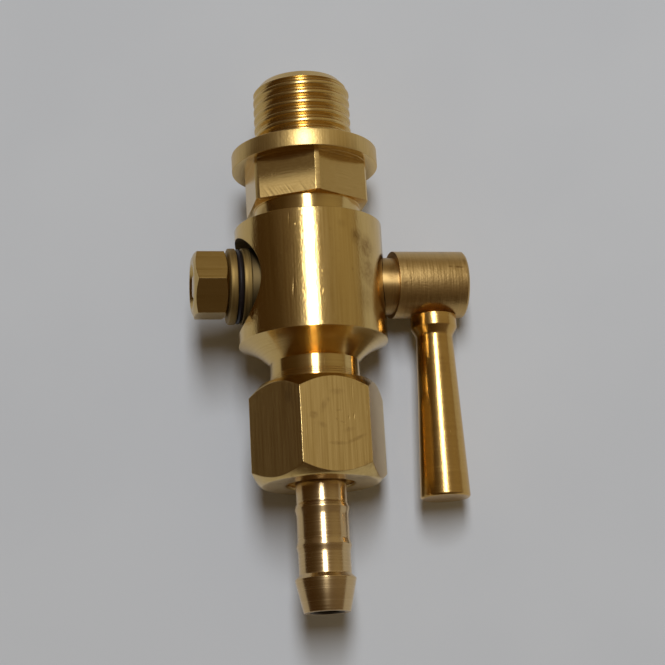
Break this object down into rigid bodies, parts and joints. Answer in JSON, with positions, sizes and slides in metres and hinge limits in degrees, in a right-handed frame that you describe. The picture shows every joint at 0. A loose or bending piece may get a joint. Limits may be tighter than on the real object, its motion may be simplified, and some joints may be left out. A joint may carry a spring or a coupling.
{
  "type": "fuel tap",
  "caption": "Brass taper-plug fuel tap with a threaded flanged inlet, a side lever, and a barbed hose tail held by a union nut.",
  "frame": {"origin": "centre of the flange's top face, where the tap seals against the tank", "axes": "+Z along the inlet thread, out of the tap; +X along the plug's axis towards the lever; the lever hangs down at rest"},
  "size_m": [0.0367, 0.0198, 0.0719],
  "materials": {
    "body_brass": "turned bar with drawn marks, light stains and fine scratches",
    "plug_brass": "dull turned brass with brown stains and scratches on the head",
    "lever_brass": "smooth turned brass with fine rings",
    "washer_brass": "flat brass with worn edges",
    "ring_rubber": "black and glossy",
    "nut_brass": "satin brass with bright corners",
    "union_brass": "drawn hexagon bar with lengthways lines, dents and bright corners",
    "tail_brass": "polished, slightly pink brass with turning rings"
  },
  "bodies": {
    "tap_body": {"tap_body": "body_brass"},
    "spindle": {"taper_plug": "plug_brass", "lever_handle": "lever_brass", "thrust_washer": "washer_brass", "o_ring": "ring_rubber", "plain_washer": "washer_brass", "spindle_nut": "nut_brass"},
    "tail": {"hose_tail": "tail_brass"},
    "union_nut": {"union_nut": "union_brass"}
  },
  "joints": [
    {"name": "lever_turn", "type": "hinge", "parent": "tap_body", "child": "spindle", "pos_m": [0, 0, -0.01873], "axis": [1, 0, 0], "continuous": true},
    {"name": "tail_drop", "type": "slide", "parent": "tap_body", "child": "tail", "axis": [0, 0, -1], "range_m": [0, 0.00668]},
    {"name": "union_nut_turn", "type": "hinge", "parent": "tail", "child": "union_nut", "pos_m": [0, 0, -0.039], "axis": [0, 0, -1], "range_deg": [0, 1800]}
  ],
  "couplings": [
    {"joint": "tail_drop", "follows": "union_nut_turn", "m_per_rad": 0.00021279}
  ]
}
